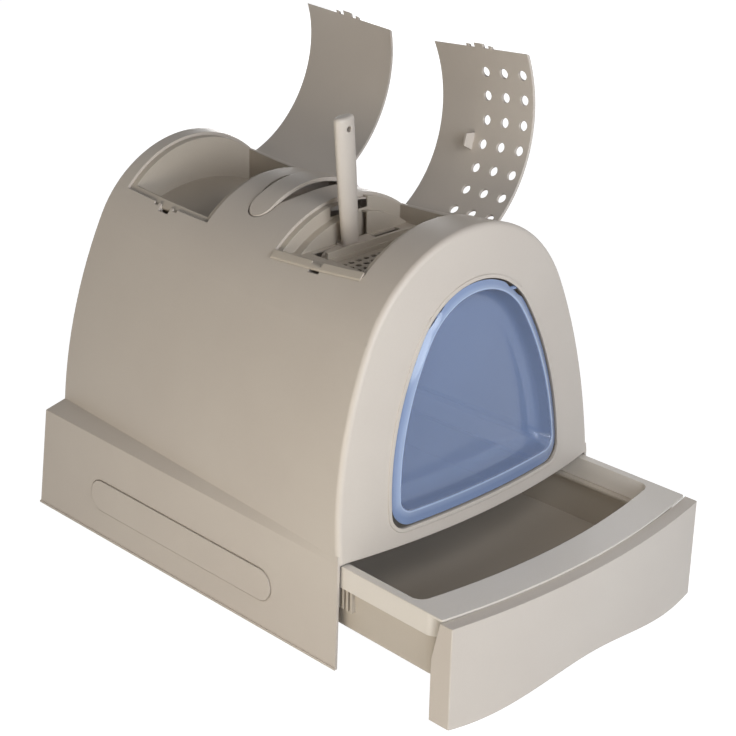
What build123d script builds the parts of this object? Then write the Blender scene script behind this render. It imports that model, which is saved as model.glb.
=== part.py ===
from build123d import *
from math import asin, atan2, cos, degrees, radians, sin, sqrt, tan
import os

# Hood: a vault on a drafted skirt, in millimetres
hood_width = 400.0
hood_length = 514.0
crown_height = 438.0
crown_rise = 4.0
crown_sag = 17.0
vault_station_shares = (0, 0.25, 0.5, 0.75, 1)
skirt_height = 122.5
shoulder_rise = 9.0
shoulder_tuck = 0.5
wall = 3.0
shoulder_wall = 2.0
front_draft = 2.0
side_draft = 9.0
back_draft = 8.0
back_step = 3.0
front_bow = 22.0
front_lean = 5.7
back_lean = 6.3
front_crown_radius = 164.5
back_crown_radius = 128.0
back_half_width = 166.0
edge_radius = 6.0
overrun = 5.0

# Long raised pads on the skirt
pad_length = 312.0
pad_height = 37.0
pad_middle = 52.0
pad_proud = 1.2
pad_groove = 1.2

# Openings in the crown, with a collar and a ledge for the trays
front_opening_start = -192.5
front_opening_end = -56.5
front_opening_left = -105.0
rear_opening_start = 57.5
rear_opening_end = 197.0
rear_opening_left = -98.5
collar_wall = 2.0
ledge_width = 5.0
ledge_thickness = 2.0
notch_width = 16.0
notch_depth = 6.0

# Lids and their hinges
lid_thickness = 3.0
lid_gap = 1.0
lid_seat_gap = 0.4
front_lid_inset = 10.0
rear_lid_inset = 1.0
hinge_x = 92.0
hinge_barrel_radius = 4.0
hinge_sink = 3.0
hinge_room = 1.5
hinge_pin_radius = 2.0
hinge_pin_length = 6.0
hinge_ear_length = 8.0
hinge_clearance = 0.05
front_open_angle = 108.5
rear_open_angle = 117.0
air_hole_radius = 5.6
air_hole_rows = 7
air_hole_columns = 3
air_hole_pitch = 27.2
air_hole_column_pitch = 26.3
air_hole_margin = 12.5
air_hole_edge = 27.0
catch_width = 12.0
catch_reach = 4.0
nub_width = 4.0
nub_spread = 14.0
nub_reach = 2.5
fin_x = 5.0
fin_y = -109.0
fin_length = 20.0
fin_tip_length = 14.0
fin_reach = 12.0
fin_thickness = 3.0

# Trays under the lids
tray_wall = 2.0
tray_clearance = 0.3
tray_flange = 2.0
storage_floor_drop = 60.0
storage_floor_radius = 190.0
deck_height = 378.0
deck_thickness = 3.0
step_drop = 15.0
step_width = 10.0
recess_width = 36.0
recess_top_width = 56.0
lip_overlap = 4.0
lip_thickness = 2.0
slot_start = -70.0
slot_end = 58.0
slot_front = -96.5
slot_back = -77.5
divider_width = 4.0
divider_height = 7.0
filter_length = 128.0
filter_depth = 66.0
filter_middle_x = -4.0
filter_well = 16.0
grille_thickness = 2.0
grille_drop = 5.0
grille_hole_radius = 3.5
grille_hole_pitch = 11.0
grille_columns = 11
grille_rows = 5
filter_clearance = 0.3
filter_shelf = 4.0

# Scoop
scoop_x = -20.0
scoop_y = -87.0
scoop_lean = 5.0
scoop_top = 523.0
scoop_handle_width = 26.0
scoop_neck_width = 21.0
scoop_handle_depth = 15.0
scoop_head_width = 84.0
scoop_head_height = 74.0
scoop_head_depth = 15.0
scoop_wall = 2.0
scoop_flange_width = 22.0
scoop_flange_depth = 25.0
scoop_flange_thickness = 2.5
scoop_hole_radius = 3.2
scoop_tip_radius = 4.0
scoop_slot_width = 5.0
scoop_slot_pitch = 11.0
scoop_slot_count = 6
grip_share = 0.6

# Carry handle across the crown
handle_middle_y = 6.0
handle_width = 30.0
handle_reach = 77.0
handle_thickness = 5.0
handle_edge_radius = 1.2
handle_gap = 1.5
handle_rise = 6.0
well_depth = 26.0
finger_room = 12.0
handle_well_half = 62.0

# Doorway and clear flap
door_half = 131.0
door_sill = 140.0
door_spring = 160.0
door_top = 379.0
door_crown_radius = 95.0
door_corner_radius = 18.0
door_gap = 2.0
door_lip = 4.0
door_lip_proud = 1.0
door_thickness = 2.5
door_flange = 9.0
door_recess = 1.0
dish_depth = 20.0
dish_taper = 20.0
door_pin_drop = 24.0
door_pin_radius = 2.5
door_pin_clearance = 0.08
door_ear_thickness = 4.0
door_ear_radius = 5.0
door_relief = 7.0
door_relief_gap = 6.2
door_socket_wall = 2.5
door_pin_setback = 2.4
door_socket_length = 10.0

# Base pan
bead_height = 2.5
bead_reach = 1.0
base_thickness = 2.5
base_setback = 80.0
base_upstand = 16.0
base_upstand_wall = 2.5
base_gap = 0.3
runner_offset = 140.0
runner_foot = 40.0
runner_top = 24.0

# Drawer: tray, rim and front panel, pulled out to where it is seen
drawer_out = 130.0
drawer_gap = 0.5
panel_thickness = 26.0
panel_bow = 20.0
panel_height = 116.5
panel_foot = 1.5
panel_wall = 3.0
panel_half = 197.0
panel_notch_top = 10.0
panel_notch_height = 45.0
panel_end_rise = 3.0
pull_rise = 17.5
pull_half = 140.0
panel_rib_offset = 100.0
rim_top = 119.0
rim_band = 25.0
rim_half_front = 194.0
rim_half_back = 185.5
rim_side = 10.0
rim_front = 40.0
rim_wall = 2.5
rim_overhang = 10.0
rim_corner = 14.0
rim_skirt = 22.0
tray_back_gap = 8.0
tray_bottom = 42.0
tray_draft = 6.0
tray_shell = 2.5
tray_corner = 16.0
tray_foot_radius = 6.0
tray_ledge = 10.0
tray_ledge_thickness = 3.0
runner_clearance = 0.3
clip_rib_width = 3.0
clip_rib_pitch = 6.0
clip_rib_count = 4
clip_rib_height = 24.0
clip_rib_setback = 118.0

# Places that follow from the sizes above
half_width = hood_width / 2
front_y = -hood_length / 2
back_y = hood_length / 2
front_half = half_width - front_draft
skirt_back_y = back_y - back_draft
vault_back_y = skirt_back_y - back_step
skirt_back_half = half_width - side_draft
high = crown_height + crown_rise
middle_share = 0.5


def along(front_value, back_value, y):
    """Value that changes evenly from the front corner to the back of the vault."""
    return front_value + (back_value - front_value) * (y - front_y) / (vault_back_y - front_y)


def vault_sizes(y, inset):
    """Half width, crown radius and crown height of the vault at y."""
    half = along(front_half, back_half_width, y) - inset
    radius = along(front_crown_radius, back_crown_radius, y) - inset
    share = along(0, 1, y)
    sag = crown_sag * share * (1 - share) / (1 - middle_share) / middle_share
    crown = along(crown_height, crown_height + crown_rise, y) - sag - inset
    return half, radius, crown


def basket_arch(half, crown_radius, crown, foot, spring):
    """Three-centred arch from foot to foot, closed along the foot."""
    rise = crown - crown_radius - spring
    side_radius = (half**2 + rise**2 - crown_radius**2) / (2 * (half - crown_radius))
    turn = degrees(atan2(rise, side_radius - half))
    Line((half, foot), (half, spring))
    CenterArc((half - side_radius, spring), side_radius, 0, turn)
    CenterArc((0, crown - crown_radius), crown_radius, turn, 180 - 2 * turn)
    CenterArc((side_radius - half, spring), side_radius, 180 - turn, turn)
    Line((-half, spring), (-half, foot))
    Line((-half, foot), (half, foot))


def bowed_plan(half_front, half_back, y_front, y_back, bow):
    """Plan outline with a bowed front edge and straight sides."""
    ThreePointArc((-half_front, y_front), (0, y_front - bow), (half_front, y_front))
    Line((half_front, y_front), (half_back, y_back))
    Line((half_back, y_back), (-half_back, y_back))
    Line((-half_back, y_back), (-half_front, y_front))


def front_block(inset, foot, top):
    """Everything behind the leaning, bowed front, set in by inset."""
    lean = radians(front_lean)
    start = front_y + inset + tan(lean) * (foot - skirt_height)
    with BuildPart() as volume:
        with BuildSketch(Plane.XY.offset(foot)):
            with BuildLine():
                bowed_plan(half_width, half_width, start, back_y, front_bow)
            make_face()
        extrude(amount=(top - foot) / cos(lean), dir=(0, sin(lean), cos(lean)))
    return volume.part


def back_block(inset, foot, top):
    """Everything in front of the leaning back wall, set in by inset."""
    lean = radians(back_lean)
    end = vault_back_y - inset - tan(lean) * (foot - skirt_height)
    reach = hood_length + front_bow + overrun
    with BuildPart() as volume:
        with BuildSketch(Plane.XY.offset(foot)):
            with Locations((0, end)):
                Rectangle(hood_width, reach + hood_length, align=(Align.CENTER, Align.MAX))
        extrude(amount=(top - foot) / cos(lean), dir=(0, -sin(lean), cos(lean)))
    return volume.part


def vault(inset, foot):
    """Solid vault inside the skin, set in by inset on every side."""
    top = high + overrun
    front_end = front_block(inset, foot, top)
    back_end = back_block(inset, foot, top)
    with BuildPart() as volume:
        first = front_y - front_bow - overrun
        for share in vault_station_shares:
            y = first + share * (vault_back_y + overrun - first)
            half, radius, crown = vault_sizes(y, inset)
            with BuildSketch(Plane.XZ.offset(-y)):
                with BuildLine():
                    basket_arch(half, radius, crown, 0, skirt_height)
                make_face()
        loft()
        add(front_end, mode=Mode.INTERSECT)
        add(back_end, mode=Mode.INTERSECT)
    return volume.part


def skirt_plan(front_half_here, back_half_here, y_front, y_back):
    Polyline(
        (-front_half_here, y_front),
        (front_half_here, y_front),
        (back_half_here, y_back),
        (-back_half_here, y_back),
        close=True,
    )


def skirt(inset, foot, top, forward):
    """Drafted skirt block, set in by inset at the sides and back."""
    levels = ((0, half_width, half_width, back_y), (skirt_height, front_half, skirt_back_half, skirt_back_y))
    with BuildPart() as volume:
        for level in (foot, top):
            share = level / skirt_height
            low, tall = levels
            front_here = low[1] + (tall[1] - low[1]) * share - inset
            back_here = low[2] + (tall[2] - low[2]) * share - inset
            end_here = low[3] + (tall[3] - low[3]) * share - inset
            with BuildSketch(Plane.XY.offset(level)):
                with BuildLine():
                    skirt_plan(front_here, back_here, front_y - forward, end_here)
                make_face()
        loft(ruled=True)
    return volume.part


def shoulder(inset, drop):
    """Sloping ledge between the skirt and the vault."""
    lean = tan(radians(front_lean)) * shoulder_rise
    back = vault_back_y - tan(radians(back_lean)) * shoulder_rise
    with BuildPart() as volume:
        with BuildSketch(Plane.XY.offset(skirt_height - drop)):
            with BuildLine():
                skirt_plan(front_half - inset, skirt_back_half - inset, front_y + inset, skirt_back_y - inset)
            make_face()
        with BuildSketch(Plane.XY.offset(skirt_height - drop + shoulder_rise)):
            with BuildLine():
                inner = inset + shoulder_tuck
                skirt_plan(front_half - inner, back_half_width - inner, front_y + lean + inset, back - inner)
            make_face()
        loft(ruled=True)
    return volume.part


def block(x_start, x_end, y_start, y_end, z_start, z_end):
    """Upright block between two corners."""
    with BuildPart() as volume:
        with BuildSketch(Plane.XY.offset(z_start)):
            with Locations((x_start, y_start)):
                Rectangle(x_end - x_start, y_end - y_start, align=(Align.MIN, Align.MIN))
        extrude(amount=z_end - z_start)
    return volume.part


def band(inset_start, inset_end):
    """Skin of the vault between two insets."""
    with BuildPart() as volume:
        add(vault_at[inset_start])
        add(vault_at[inset_end], mode=Mode.SUBTRACT)
    return volume.part


def kept(shape, limit):
    """The part of a shape that lies inside a limit."""
    with BuildPart() as volume:
        add(shape)
        add(limit, mode=Mode.INTERSECT)
    return volume.part


def crown_z(x, y):
    """Height of the vault's skin near the crown."""
    half, radius, crown = vault_sizes(y, 0)
    return crown - radius + sqrt(radius**2 - x**2)


def door_outline(grow):
    """Doorway profile: an arch with rounded sill corners, grown by grow."""
    half = door_half + grow
    basket_arch(half, door_crown_radius + grow, door_top + grow, door_sill - grow, door_spring)


def door_prism(grow, start, end, taper):
    """Doorway profile extruded from y start to y end."""
    with BuildPart() as volume:
        with BuildSketch(Plane.XZ.offset(-start)) as profile:
            with BuildLine():
                door_outline(grow)
            make_face()
            corners = profile.vertices().group_by(Axis.Y)[0]
            fillet(corners, door_corner_radius + grow)
        extrude(amount=start - end, taper=taper)
    return volume.part


# Depths below the skin of the vault
seat_top = lid_thickness + lid_seat_gap
seat_depth = seat_top + tray_flange
collar_depth = seat_depth + ledge_thickness
step_depth = seat_top + step_drop
opening_right = hinge_x + hinge_barrel_radius + hinge_room
tray_right = hinge_x - hinge_barrel_radius - lid_gap
low_cut = deck_height - filter_well - overrun
openings = {
    "front": (front_opening_start, front_opening_end, front_opening_left),
    "rear": (rear_opening_start, rear_opening_end, rear_opening_left),
}
lid_insets = {"front": front_lid_inset, "rear": rear_lid_inset}
vault_depths = (
    -lip_thickness, 0, wall / 2, lid_thickness, seat_top, seat_depth, collar_depth,
    step_depth, step_depth + tray_wall, well_depth, well_depth + wall,
)
vault_at = {}
for depth in vault_depths:
    vault_at[depth] = vault(depth, skirt_height)


def hinge_point(name, y):
    """Point at y on the straight hinge line, which follows the fall of the crown."""
    start, end, left = openings[name]
    low = crown_z(hinge_x, start)
    tall = crown_z(hinge_x, end)
    return Vector(hinge_x, y, low + (tall - low) * (y - start) / (end - start) - hinge_sink)


def hinge_axis(name):
    start, end, left = openings[name]
    return Axis(hinge_point(name, start), hinge_point(name, end) - hinge_point(name, start))


def hinge_rod(name, y_start, y_end, radius):
    """Round rod along the hinge line."""
    line = hinge_point(name, y_end) - hinge_point(name, y_start)
    with BuildPart() as rod:
        with BuildSketch(Plane(origin=hinge_point(name, y_start), x_dir=(1, 0, 0), z_dir=line)):
            Circle(radius)
        extrude(amount=line.length)
    return rod.part


# Hood shell: outer form with a rounded front edge
with BuildPart() as rounded_vault:
    add(vault_at[0])
    front_edges = rounded_vault.edges().filter_by(
        lambda edge: edge.center().Y < front_y / 2 and edge.bounding_box().max.Z > skirt_height + overrun
        and edge.bounding_box().max.Y < front_y / 2
    )
    fillet(front_edges, edge_radius)

with BuildPart() as side_pads:
    add(skirt(-pad_proud, bead_height, skirt_height, 0))
    with BuildSketch(Plane.YZ):
        with Locations((0, pad_middle)):
            SlotOverall(pad_length, pad_height)
    extrude(amount=hood_width, both=True, mode=Mode.INTERSECT)

with BuildPart() as pad_grooves:
    with BuildSketch(Plane.YZ):
        with Locations((0, pad_middle)):
            SlotOverall(pad_length + 2 * pad_groove, pad_height + 2 * pad_groove)
            SlotOverall(pad_length, pad_height, mode=Mode.SUBTRACT)
    extrude(amount=hood_width, both=True)
    add(skirt(pad_groove, 0, skirt_height, 0), mode=Mode.SUBTRACT)

# Hood shell: collars and ledges round the two openings
collar_band = band(wall / 2, collar_depth)
ledge_band = band(seat_depth, collar_depth)


def collar(name):
    start, end, left = openings[name]
    grown = block(left - collar_wall, opening_right + collar_wall, start - collar_wall, end + collar_wall,
                  low_cut, high)
    clear = block(left, opening_right, start, end, low_cut, high)
    under_tray = block(left, tray_right, start, end, low_cut, high)
    inner = block(left + ledge_width, opening_right, start + ledge_width, end - ledge_width, low_cut, high)
    with BuildPart() as volume:
        add(kept(collar_band, grown))
        add(clear, mode=Mode.SUBTRACT)
        add(kept(ledge_band, under_tray))
        add(inner, mode=Mode.SUBTRACT)
    return volume.part


# Hood shell: finger well below the carry handle
with BuildPart() as handle_under:
    rise = crown_z(0, handle_middle_y) + handle_rise - crown_z(handle_reach, handle_middle_y)
    handle_radius = (handle_reach**2 + rise**2) / (2 * rise)
    handle_centre = crown_z(0, handle_middle_y) + handle_rise - handle_radius
    with BuildSketch(Plane.XZ.offset(-handle_middle_y)):
        with Locations((0, handle_centre)):
            Circle(handle_radius - handle_thickness)
    extrude(amount=handle_width * 2, both=True)


def handle_prism(grow, lens):
    """Plan of the handle, grown all round, with a wider lens for the fingers if asked."""
    with BuildPart() as volume:
        with BuildSketch(Plane.XY.offset(low_cut)):
            with Locations((0, handle_middle_y)):
                SlotOverall(2 * (handle_reach + grow), handle_width + 2 * grow)
                if lens:
                    Ellipse(handle_well_half + grow, handle_width / 2 + finger_room + grow)
        extrude(amount=high + handle_rise + overrun - low_cut)
    return volume.part


with BuildPart() as handle_seat_cut:
    add(handle_prism(handle_gap, False))
    add(handle_under.part, mode=Mode.SUBTRACT)

with BuildPart() as finger_well:
    add(handle_prism(handle_gap, True))
    add(block(-handle_well_half, handle_well_half, handle_middle_y - handle_reach,
              handle_middle_y + handle_reach, low_cut, high + handle_rise + overrun), mode=Mode.INTERSECT)
    add(vault_at[well_depth], mode=Mode.SUBTRACT)

with BuildPart() as well_wall:
    add(vault_at[wall / 2])
    add(handle_prism(handle_gap + collar_wall, True), mode=Mode.INTERSECT)
    add(vault_at[well_depth + wall], mode=Mode.SUBTRACT)

# Hood shell: lip round the doorway and sockets for the flap's pins
door_front = front_y - front_bow - overrun
door_back = front_y + overrun + tan(radians(front_lean)) * (door_top - skirt_height)
pin_height = door_top - door_pin_drop
pin_front_y = front_y - front_bow + tan(radians(front_lean)) * (pin_height - skirt_height)
pin_y = pin_front_y + wall + door_pin_setback


def doorway_half(height):
    """Half width of the doorway in its crown."""
    return sqrt(door_crown_radius**2 - (height - door_top + door_crown_radius) ** 2)


socket_start = doorway_half(pin_height - door_pin_radius - door_socket_wall) + door_gap / 2
socket_end = socket_start + door_socket_length
ear_outside = doorway_half(pin_height + door_ear_radius) - door_relief_gap / 2

with BuildPart() as doorway_lip:
    add(door_prism(door_lip, door_front, door_back, 0))
    add(front_block(-door_lip_proud, skirt_height, high), mode=Mode.INTERSECT)
    add(front_block(wall, skirt_height - overrun, high + overrun), mode=Mode.SUBTRACT)

with BuildPart() as door_sockets:
    with BuildSketch(Plane.YZ.offset(socket_start)):
        with Locations((pin_y, pin_height)):
            Circle(door_pin_radius + door_socket_wall)
        with Locations((pin_y, pin_height)):
            socket_height = 2 * (door_pin_radius + door_socket_wall)
            Rectangle(door_pin_setback + wall, socket_height, align=(Align.MAX, Align.CENTER))
    extrude(amount=door_socket_length)
    mirror(about=Plane.YZ)
    add(front_block(wall / 2, skirt_height, high), mode=Mode.INTERSECT)

with BuildPart() as door_pin_bores:
    with BuildSketch(Plane.YZ.offset(ear_outside)):
        with Locations((pin_y, pin_height)):
            Circle(door_pin_radius + door_pin_clearance)
    extrude(amount=socket_end - door_socket_wall - ear_outside)
    mirror(about=Plane.YZ)

with BuildPart() as hood_shell:
    add(rounded_vault.part)
    add(skirt(0, 0, skirt_height, 0))
    add(skirt(-bead_reach, 0, bead_height, 0))
    add(shoulder(0, 0))
    add(pad_grooves.part, mode=Mode.SUBTRACT)
    add(side_pads.part)
    add(vault(wall, skirt_height - overrun), mode=Mode.SUBTRACT)
    add(skirt(wall, -overrun, skirt_height - shoulder_wall, overrun), mode=Mode.SUBTRACT)
    add(shoulder(wall, shoulder_wall), mode=Mode.SUBTRACT)
    add(well_wall.part)
    add(finger_well.part, mode=Mode.SUBTRACT)
    add(handle_seat_cut.part, mode=Mode.SUBTRACT)
    for name, (start, end, left) in openings.items():
        add(block(left, opening_right, start, end, low_cut, high + overrun), mode=Mode.SUBTRACT)
        add(collar(name))
        middle = (start + end) / 2
        add(block(left - notch_depth, left + ledge_width, middle - notch_width / 2,
                  middle + notch_width / 2, low_cut, high), mode=Mode.SUBTRACT)
        if lid_insets[name] < nub_reach:
            for y in (middle - nub_spread - nub_width, middle + nub_spread):
                add(block(left - nub_reach, left + ledge_width, y - lid_gap, y + nub_width + lid_gap,
                          low_cut, high), mode=Mode.SUBTRACT)
        for ear_y in (start - hinge_ear_length, end):
            add(hinge_rod(name, ear_y, ear_y + hinge_ear_length, hinge_barrel_radius))
        add(hinge_rod(name, start - hinge_pin_length - lid_gap, end + hinge_pin_length + lid_gap,
                      hinge_pin_radius + hinge_clearance), mode=Mode.SUBTRACT)
    add(doorway_lip.part)
    add(door_prism(0, door_front, door_back, 0), mode=Mode.SUBTRACT)
    add(door_sockets.part)
    add(door_pin_bores.part, mode=Mode.SUBTRACT)


# Lids, shaped shut and then swung open about their hinges
lid_skin = band(0, lid_thickness)


def lid(name, air_holes):
    start, end, left = openings[name]
    y_start = start + lid_gap
    y_end = end - lid_gap
    middle = (start + end) / 2
    free_edge = left + lid_insets[name]
    crown = vault_sizes(middle, 0)
    arc_centre = crown[2] - crown[1]
    plate = kept(lid_skin, block(free_edge, hinge_x, y_start, y_end, low_cut, high + overrun))
    tab = kept(lid_skin, block(free_edge - catch_reach, free_edge + catch_reach, middle - catch_width / 2,
                               middle + catch_width / 2, low_cut, high + overrun))
    with BuildPart() as shut:
        add(plate)
        add(tab)
        for y in (middle - nub_spread - nub_width, middle + nub_spread):
            nub = block(free_edge - nub_reach, free_edge + nub_reach, y, y + nub_width, low_cut, high)
            add(kept(lid_skin, nub))
        add(hinge_rod(name, y_start, y_end, hinge_barrel_radius))
        add(hinge_rod(name, start - hinge_pin_length, end + hinge_pin_length, hinge_pin_radius))
        if air_holes:
            step = degrees(air_hole_pitch / crown[1])
            first = degrees(asin(-free_edge / crown[1])) - degrees(air_hole_edge / crown[1])
            for row in range(air_hole_rows):
                tilt = first - row * step
                for column in range(air_hole_columns):
                    y = y_start + air_hole_margin + column * air_hole_column_pitch
                    direction = (-sin(radians(tilt)), 0, cos(radians(tilt)))
                    with BuildSketch(Plane(origin=(0, y, arc_centre), x_dir=(0, 1, 0), z_dir=direction)):
                        Circle(air_hole_radius)
                    extrude(amount=crown[1] + overrun, mode=Mode.SUBTRACT)
    return shut.part


def swung(part, name, angle):
    return part.rotate(hinge_axis(name), angle)


with BuildPart() as rear_lid:
    add(swung(lid("rear", False), "rear", rear_open_angle))

# A short fin below the front lid
fin_root = crown_z(fin_x, fin_y) - lid_thickness / 2
fin_tip = fin_root - lid_thickness / 2 - fin_reach
with BuildPart() as lid_fin:
    with BuildSketch(Plane.XZ.offset(-fin_y)):
        with BuildLine():
            Polyline(
                (fin_x - fin_length / 2, fin_root), (fin_x + fin_length / 2, fin_root),
                (fin_x + fin_tip_length / 2, fin_tip), (fin_x - fin_tip_length / 2, fin_tip), close=True,
            )
        make_face()
    extrude(amount=fin_thickness)

with BuildPart() as front_lid:
    add(swung(lid("front", True) + lid_fin.part, "front", front_open_angle))


# Trays that drop into the openings
def tray_limits(name, inset):
    start, end, left = openings[name]
    side = tray_clearance + inset
    return left + side, tray_right - inset, start + side, end - side


def tray_body(name, floor):
    """Flange on the ledge and walls down to the floor, still filled."""
    foot = tray_clearance + ledge_width
    with BuildPart() as volume:
        add(kept(band(seat_top, seat_depth), block(*tray_limits(name, 0), low_cut, high)))
        add(kept(vault_at[seat_top], block(*tray_limits(name, foot), floor, high)))
    return volume.part


storage_centre = high - storage_floor_drop - storage_floor_radius
with BuildPart() as storage_floor:
    with BuildSketch(Plane.XZ.offset(-rear_opening_start)):
        with Locations((0, storage_centre)):
            Circle(storage_floor_radius)
    extrude(amount=-(rear_opening_end - rear_opening_start))

with BuildPart() as storage_below:
    with BuildSketch(Plane.XZ.offset(-rear_opening_start)):
        with Locations((0, storage_centre)):
            Circle(storage_floor_radius - tray_wall)
    extrude(amount=-(rear_opening_end - rear_opening_start))

inner_foot = tray_clearance + ledge_width + tray_wall
with BuildPart() as storage_room:
    add(block(*tray_limits("rear", inner_foot), storage_centre, high + overrun))
    add(storage_floor.part, mode=Mode.SUBTRACT)

with BuildPart() as storage_tray:
    add(tray_body("rear", storage_centre))
    add(storage_below.part, mode=Mode.SUBTRACT)
    add(storage_room.part, mode=Mode.SUBTRACT)

# Scoop tray: deck, stepped back, scoop slot, divider and filter well
front_left, front_right, front_start, front_end = tray_limits("front", inner_foot)
deck_bottom = deck_height - deck_thickness
divider_back = scoop_y - scoop_flange_depth / 2 - lid_gap
divider_front = divider_back - divider_width
filter_back = divider_front - tray_wall
filter_front = filter_back - filter_depth
filter_left = filter_middle_x - filter_length / 2
filter_right = filter_middle_x + filter_length / 2
grille_top = deck_height - grille_drop
grille_bottom = grille_top - grille_thickness
well_bottom = deck_height - filter_well
step_top = crown_z(0, front_end) - step_depth


def filter_block(grow, z_start, z_end):
    """Block over the filter's plan, grown all round."""
    return block(filter_left - grow, filter_right + grow, filter_front - grow, filter_back + grow,
                 z_start, z_end)


with BuildPart() as scoop_tray:
    add(tray_body("front", deck_bottom))
    add(block(front_left, front_right, front_start, front_end, deck_height, high + overrun),
        mode=Mode.SUBTRACT)
    step = block(front_left - tray_wall / 2, front_right + tray_wall / 2, front_end - step_width,
                 front_end + tray_wall / 2, deck_bottom, high)
    step_room = block(front_left + tray_wall, front_right - tray_wall, front_end - step_width + tray_wall,
                      front_end - tray_wall / 2, deck_bottom - overrun, high)
    add(kept(vault_at[step_depth], step))
    add(kept(vault_at[step_depth + tray_wall], step_room), mode=Mode.SUBTRACT)
    add(block(-recess_width / 2, recess_width / 2, front_end - step_width - lid_gap,
              front_end - tray_wall / 2, deck_height, high), mode=Mode.SUBTRACT)
    add(block(-recess_top_width / 2, recess_top_width / 2, front_end - lid_gap, front_opening_end,
              step_top, high), mode=Mode.SUBTRACT)
    add(filter_block(tray_wall, well_bottom, deck_height))
    add(filter_block(0, grille_bottom, deck_height + overrun), mode=Mode.SUBTRACT)
    add(filter_block(-filter_shelf / 2, well_bottom + tray_wall, deck_height), mode=Mode.SUBTRACT)
    with BuildSketch(Plane.XY.offset(well_bottom - overrun)):
        with Locations(((filter_left + filter_right) / 2, (filter_front + filter_back) / 2)):
            with GridLocations(filter_length / 3, 0, 3, 1):
                Rectangle(filter_length / 3 - 2 * filter_shelf, filter_depth - 4 * filter_shelf)
    extrude(amount=filter_well, mode=Mode.SUBTRACT)
    add(block(slot_start, slot_end, slot_front, slot_back, deck_bottom - overrun, deck_height + overrun),
        mode=Mode.SUBTRACT)
    add(block(slot_start, slot_end, divider_front, divider_back, deck_bottom, deck_height + divider_height))
    lip_start = front_opening_start + lid_gap
    lip_end = front_opening_end - lid_gap
    lip_foot = front_opening_left + tray_clearance
    lip = block(front_opening_left - lip_overlap, lip_foot + tray_wall, lip_start, lip_end, low_cut, high)
    lip_web = block(lip_foot, lip_foot + tray_wall, lip_start, lip_end, low_cut, high)
    add(kept(band(-lip_thickness, 0), lip))
    add(kept(band(0, seat_depth), lip_web))
    front_middle = (front_opening_start + front_opening_end) / 2
    notch_foot = crown_z(front_opening_left + ledge_width, front_middle) - seat_top
    add(block(front_opening_left - notch_depth, front_opening_left + ledge_width,
              front_middle - notch_width / 2, front_middle + notch_width / 2, notch_foot, high),
        mode=Mode.SUBTRACT)

with BuildPart() as filter_grille:
    with BuildSketch(Plane.XY.offset(grille_bottom)):
        with Locations(((filter_left + filter_right) / 2, (filter_front + filter_back) / 2)):
            Rectangle(filter_length - 2 * filter_clearance, filter_depth - 2 * filter_clearance)
            with GridLocations(grille_hole_pitch, grille_hole_pitch, grille_columns, grille_rows):
                Circle(grille_hole_radius, mode=Mode.SUBTRACT)
    extrude(amount=grille_thickness)

with BuildPart() as filter_pad:
    with BuildSketch(Plane.XY.offset(well_bottom + tray_wall)):
        with Locations(((filter_left + filter_right) / 2, (filter_front + filter_back) / 2)):
            Rectangle(filter_length - filter_shelf - 2 * filter_clearance,
                      filter_depth - filter_shelf - 2 * filter_clearance)
    extrude(amount=grille_bottom - well_bottom - tray_wall - filter_clearance)

# Scoop, standing in its slot
lean = radians(scoop_lean)
scoop_plane = Plane(
    origin=(scoop_x, scoop_y, deck_height), x_dir=(cos(lean), 0, sin(lean)), z_dir=(-sin(lean), 0, cos(lean))
)
scoop_length = (scoop_top - deck_height) / cos(lean)
with BuildPart() as scoop:
    for share, width in ((0, scoop_neck_width), (grip_share, scoop_handle_width), (1, scoop_handle_width)):
        with BuildSketch(scoop_plane.offset(scoop_length * share)):
            Ellipse(width / 2, scoop_handle_depth / 2)
    loft()
    fillet(scoop.faces().sort_by(Axis.Z)[-1].edges(), scoop_tip_radius)
    with BuildSketch(Plane.XY.offset(deck_height)):
        with Locations((scoop_x, scoop_y)):
            RectangleRounded(scoop_flange_width, scoop_flange_depth, scoop_wall * 2)
    extrude(amount=scoop_flange_thickness)
    head_middle = Plane(scoop_plane.origin, x_dir=scoop_plane.x_dir, z_dir=(0, -1, 0))
    head_plane = head_middle.offset(-scoop_head_depth / 2)
    with BuildSketch(head_plane):
        with Locations((0, -scoop_head_height / 2 + scoop_flange_thickness / 2)):
            RectangleRounded(scoop_head_width, scoop_head_height, scoop_head_depth)
    extrude(amount=scoop_head_depth)
    with BuildSketch(head_plane.offset(scoop_wall)):
        with Locations((0, -scoop_head_height / 2 + scoop_flange_thickness / 2 - 2 * scoop_wall)):
            bowl_width = scoop_head_width - 2 * scoop_wall
            RectangleRounded(bowl_width, scoop_head_height, scoop_head_depth - scoop_wall)
    extrude(amount=scoop_head_depth, mode=Mode.SUBTRACT)
    with BuildSketch(head_plane):
        with Locations((0, -scoop_head_height / 2)):
            with GridLocations(scoop_slot_pitch, 0, scoop_slot_count, 1):
                SlotOverall(scoop_head_height - 2 * scoop_head_depth, scoop_slot_width, rotation=90)
    extrude(amount=scoop_wall * 2, mode=Mode.SUBTRACT)
    hole_plane = Plane(scoop_plane.offset(scoop_length - scoop_handle_width / 2).origin,
                       x_dir=scoop_plane.x_dir, z_dir=(0, -1, 0))
    with BuildSketch(hole_plane):
        Circle(scoop_hole_radius)
    extrude(amount=scoop_handle_depth, both=True, mode=Mode.SUBTRACT)

# Carry handle strap
with BuildPart() as carry_handle:
    with BuildSketch(Plane.XZ.offset(-handle_middle_y)):
        with Locations((0, handle_centre)):
            Circle(handle_radius)
            Circle(handle_radius - handle_thickness, mode=Mode.SUBTRACT)
    extrude(amount=handle_width, both=True)
    add(handle_prism(0, False), mode=Mode.INTERSECT)
    strap_top = carry_handle.faces().filter_by(GeomType.CYLINDER).sort_by(SortBy.AREA)[-1]
    fillet(strap_top.edges(), handle_edge_radius)


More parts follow.
